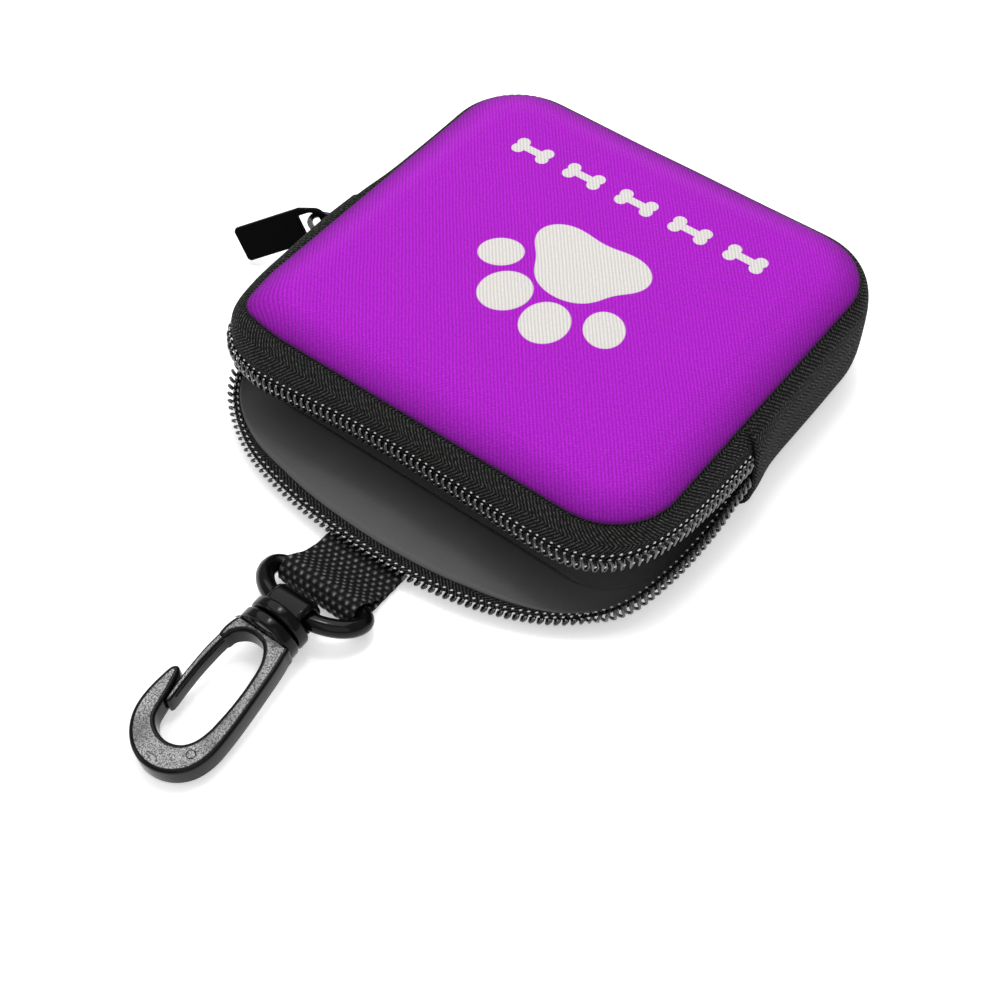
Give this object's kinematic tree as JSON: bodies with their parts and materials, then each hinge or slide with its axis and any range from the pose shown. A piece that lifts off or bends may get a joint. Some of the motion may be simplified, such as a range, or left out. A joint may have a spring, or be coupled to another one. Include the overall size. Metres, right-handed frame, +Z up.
{
  "type": "treat pouch",
  "caption": "Square zip pouch for treats, lying on its back with its mouth unzipped, with a soft crowned front, a webbing tab, a D-ring and a swivel snap hook.",
  "frame": {"origin": "centre of the back panel's flat underside, which the pouch lies on", "axes": "+X along the mouth, -Y out of the mouth toward the hook, +Z up out of the front panel"},
  "size_m": [0.1299, 0.1704, 0.0289],
  "materials": {
    "knit_face": "matte fine knit",
    "foam": "matte",
    "lining": "satin",
    "gusset_twill": "matte herringbone",
    "zipper_tape": "matte herringbone",
    "zipper_coil": "glossy",
    "slider_metal": "semi-gloss",
    "tab_metal": "satin",
    "webbing": "coarse plain weave",
    "ring": "glossy",
    "hook_plastic": "glossy, grained on its faces",
    "back_twill": "matte"
  },
  "bodies": {
    "pouch": {"back_panel": "back_twill", "back_lining": "lining", "gusset": "gusset_twill", "gusset_lining": "lining", "front_panel_rear": "knit_face", "front_foam_rear": "foam", "front_lining_rear": "lining", "upper_tape_end_left": "zipper_tape", "upper_tape_end_right": "zipper_tape", "upper_coil_end_left": "zipper_coil", "upper_coil_end_right": "zipper_coil", "lower_zipper_tape": "zipper_tape", "lower_zipper_coil": "zipper_coil", "lower_lip_lining": "lining"},
    "front_flap": {"front_panel_mouth": "knit_face", "front_foam_mouth": "foam", "front_lining_mouth": "lining", "upper_zipper_tape": "zipper_tape", "upper_zipper_coil": "zipper_coil"},
    "slider": {"zipper_slider": "slider_metal"},
    "tab": {"pull_tab": "tab_metal"},
    "webbing": {"webbing_tab": "webbing"},
    "ring": {"d_ring": "ring"},
    "swivel": {"swivel_eye": "hook_plastic"},
    "hook": {"hook_body": "hook_plastic"},
    "gate": {"hook_gate": "hook_plastic"}
  },
  "joints": [
    {"name": "mouth_flex", "type": "hinge", "parent": "pouch", "child": "front_flap", "pos_m": [0, -0.014, 0.0293], "axis": [-1, 0, 0], "range_deg": [0, 25], "stiffness_Nm_per_rad": 0.02},
    {"name": "slider_travel", "type": "slide", "parent": "pouch", "child": "slider", "axis": [0, 1, 0], "range_m": [-0.012, 0]},
    {"name": "pull_tab_swing", "type": "hinge", "parent": "slider", "child": "tab", "pos_m": [-0.058, -0.007, 0.015], "axis": [-0.5672, 0.084, 0.8193], "range_deg": [-50, 18]},
    {"name": "webbing_bend", "type": "hinge", "parent": "pouch", "child": "webbing", "pos_m": [0, -0.049, 0.0003], "axis": [1, 0, 0], "range_deg": [0, 40], "stiffness_Nm_per_rad": 0.003},
    {"name": "ring_swing", "type": "hinge", "parent": "webbing", "child": "ring", "pos_m": [0, -0.074, 0.0034], "axis": [1, 0, 0], "range_deg": [-60, 40]},
    {"name": "eye_swing", "type": "hinge", "parent": "ring", "child": "swivel", "pos_m": [0, -0.083, 0.0067], "axis": [1, 0, 0], "range_deg": [-35, 35]},
    {"name": "hook_swivel", "type": "hinge", "parent": "swivel", "child": "hook", "pos_m": [0, -0.083, 0.0067], "axis": [0, -0.9947, -0.1028], "continuous": true},
    {"name": "gate_flex", "type": "hinge", "parent": "hook", "child": "gate", "pos_m": [-0.0049, -0.09364, 0.0056], "axis": [0, -0.1028, 0.9947], "range_deg": [0, 20], "stiffness_Nm_per_rad": 0.05}
  ]
}
